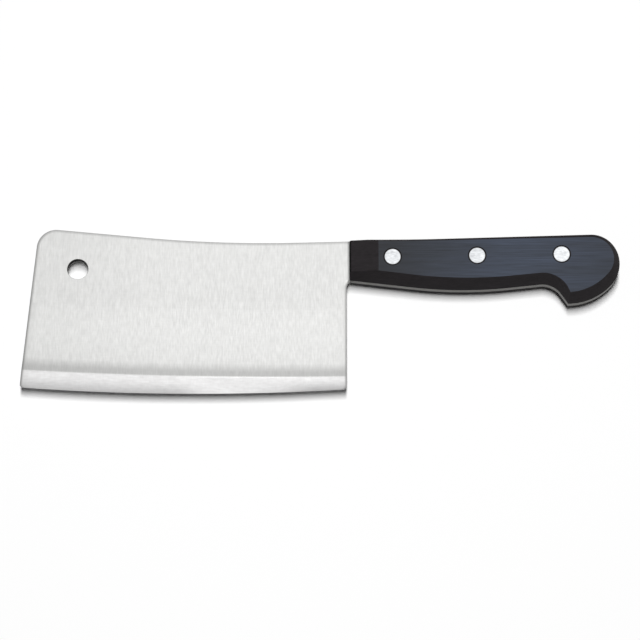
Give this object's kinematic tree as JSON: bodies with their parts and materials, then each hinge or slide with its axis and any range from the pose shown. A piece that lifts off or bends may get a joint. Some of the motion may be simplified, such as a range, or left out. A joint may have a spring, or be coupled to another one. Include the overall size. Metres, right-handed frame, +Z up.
{
  "type": "meat cleaver",
  "caption": "Meat cleaver with a deep rectangular steel blade, bevelled edge and hanging hole, full tang, and black riveted handle scales with a hooked butt.",
  "frame": {"origin": "under the middle of the cleaver's overall box, on the plane of the right scale's flat side", "axes": "+X from the front of the blade to the butt of the handle, +Y from the cutting edge to the spine, +Z up through the thickness, out of the left side of the blade"},
  "size_m": [0.2762, 0.0782, 0.0185],
  "materials": {
    "steel": "satin ground stainless steel, grind lines across the blade",
    "handle": "black satin acetal",
    "rivet": "sanded flush with the scales"
  },
  "bodies": {
    "root": {"blade": "steel", "left_scale": "handle", "right_scale": "handle", "front_rivet_post": "rivet", "front_rivet_barrel": "rivet", "middle_rivet_post": "rivet", "middle_rivet_barrel": "rivet", "rear_rivet_post": "rivet", "rear_rivet_barrel": "rivet"}
  },
  "joints": []
}
